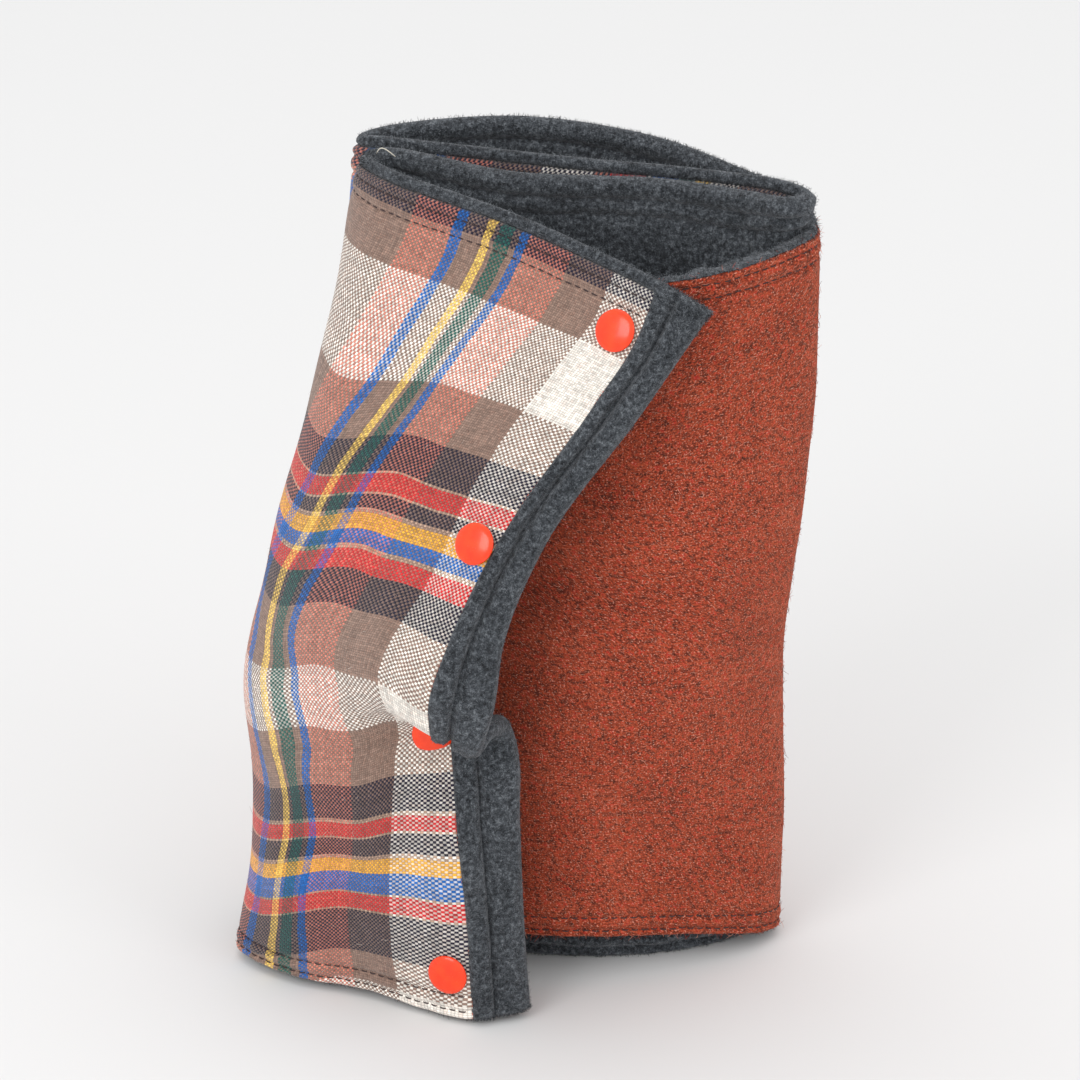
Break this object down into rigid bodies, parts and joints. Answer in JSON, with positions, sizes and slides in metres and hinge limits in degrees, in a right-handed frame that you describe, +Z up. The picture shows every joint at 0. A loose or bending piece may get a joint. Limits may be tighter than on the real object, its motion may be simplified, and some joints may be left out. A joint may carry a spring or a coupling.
{
  "type": "hand warmer muff",
  "caption": "Snap-fastened hand warmer muff: a wool strip lined with fleece, folded in three, with a hinged snap flap and a front panel.",
  "frame": {"origin": "on the ground, on the lower edge of the inner pleat, under the middle of the folded muff", "axes": "+Z up along the standing height, -Y towards the front with the snap caps, +X towards the side fold"},
  "size_m": [0.1746, 0.1183, 0.2483],
  "materials": {
    "plaid_wool": "plain weave wool, brushed, in a many-coloured plaid",
    "rust_wool": "felted wool tweed, heathered",
    "fleece": "short dense fleece, matt",
    "interlining": "thin non-woven",
    "snap_plastic": "glossy orange, domed"
  },
  "bodies": {
    "folded_body": {"plaid_fold": "plaid_wool", "lining_inner": "fleece", "plaid_pleat": "plaid_wool", "lining_pleat": "fleece", "rust_back": "rust_wool", "lining_back": "fleece", "rust_side_fold": "rust_wool", "lining_side_fold": "fleece"},
    "snap_flap": {"plaid_flap": "plaid_wool", "lining_flap": "fleece", "end_border_flap": "fleece", "snap_stay_flap": "interlining", "snap_cap_1": "snap_plastic", "snap_cap_2": "snap_plastic", "snap_cap_3": "snap_plastic", "snap_cap_4": "snap_plastic", "snap_socket_1": "snap_plastic", "snap_socket_2": "snap_plastic", "snap_socket_3": "snap_plastic", "snap_socket_4": "snap_plastic"},
    "front_panel": {"rust_front": "rust_wool", "lining_front": "fleece", "end_border_front": "fleece", "snap_stay_front": "interlining", "snap_stud_1": "snap_plastic", "snap_stud_2": "snap_plastic", "snap_stud_3": "snap_plastic", "snap_stud_4": "snap_plastic", "snap_back_cap_1": "snap_plastic", "snap_back_cap_2": "snap_plastic", "snap_back_cap_3": "snap_plastic", "snap_back_cap_4": "snap_plastic"}
  },
  "joints": [
    {"name": "flap_fold", "type": "hinge", "parent": "folded_body", "child": "snap_flap", "pos_m": [-0.097, -0.014, 0], "axis": [-0.1518, -0.1322, -0.9795], "range_deg": [0, 110]},
    {"name": "side_fold", "type": "hinge", "parent": "folded_body", "child": "front_panel", "pos_m": [0.068, -0.001, 0], "axis": [0.025, -0.034, 0.9991], "range_deg": [0, 66]}
  ],
  "couplings": [
    {"joint": "side_fold", "follows": "flap_fold", "ratio": 0.6}
  ]
}
